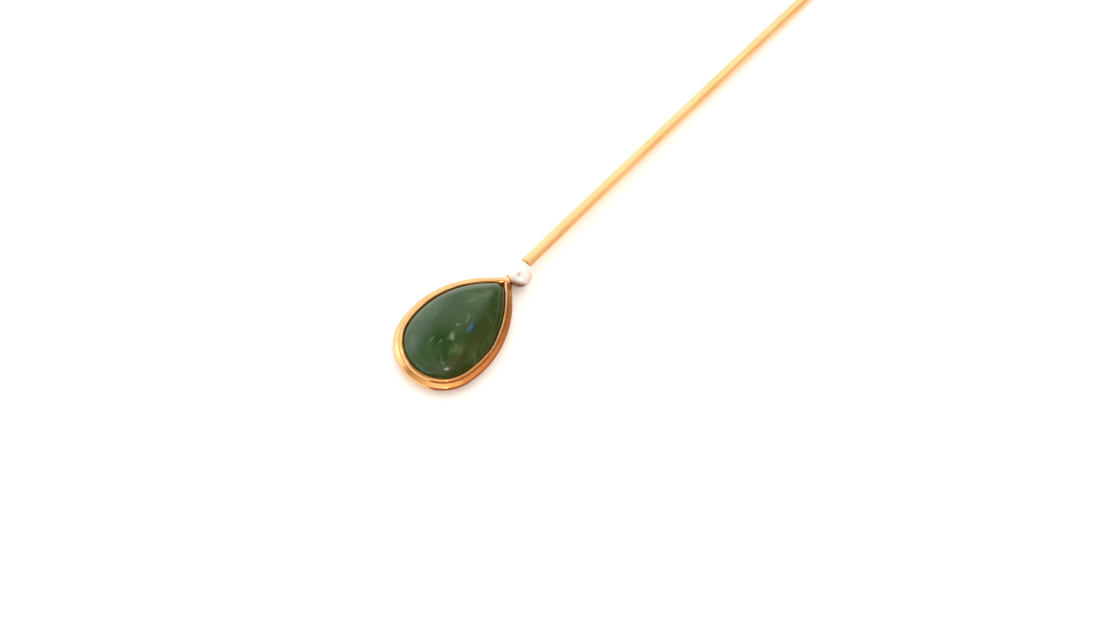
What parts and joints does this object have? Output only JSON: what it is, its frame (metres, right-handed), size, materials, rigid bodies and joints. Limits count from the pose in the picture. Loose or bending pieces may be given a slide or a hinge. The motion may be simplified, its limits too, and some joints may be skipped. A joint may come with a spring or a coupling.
{
  "type": "stick pin",
  "caption": "Slender pointed pin headed by a pear-shaped green cabochon in a rounded gold bezel, with a small pearl below it; fastens or decorates hair, a scarf or a lapel.",
  "frame": {"origin": "on the flat back face of the setting, under the centre of the stone's round end", "axes": "+X along the pin from the setting towards the point, +Z out of the front of the stone, +Y across"},
  "size_m": [0.0739, 0.0092, 0.0038],
  "materials": {
    "jade": "polished",
    "setting_gold": "gloss",
    "stem_gold": "gloss",
    "pearl": "gloss",
    "cement": "matte"
  },
  "bodies": {
    "root": {"jade_cabochon": "jade", "bezel_wall": "setting_gold", "bezel_moulding": "setting_gold", "stone_seat": "setting_gold", "back_plate": "setting_gold", "stem": "stem_gold", "pearl": "pearl", "pearl_cement": "cement"}
  },
  "joints": []
}
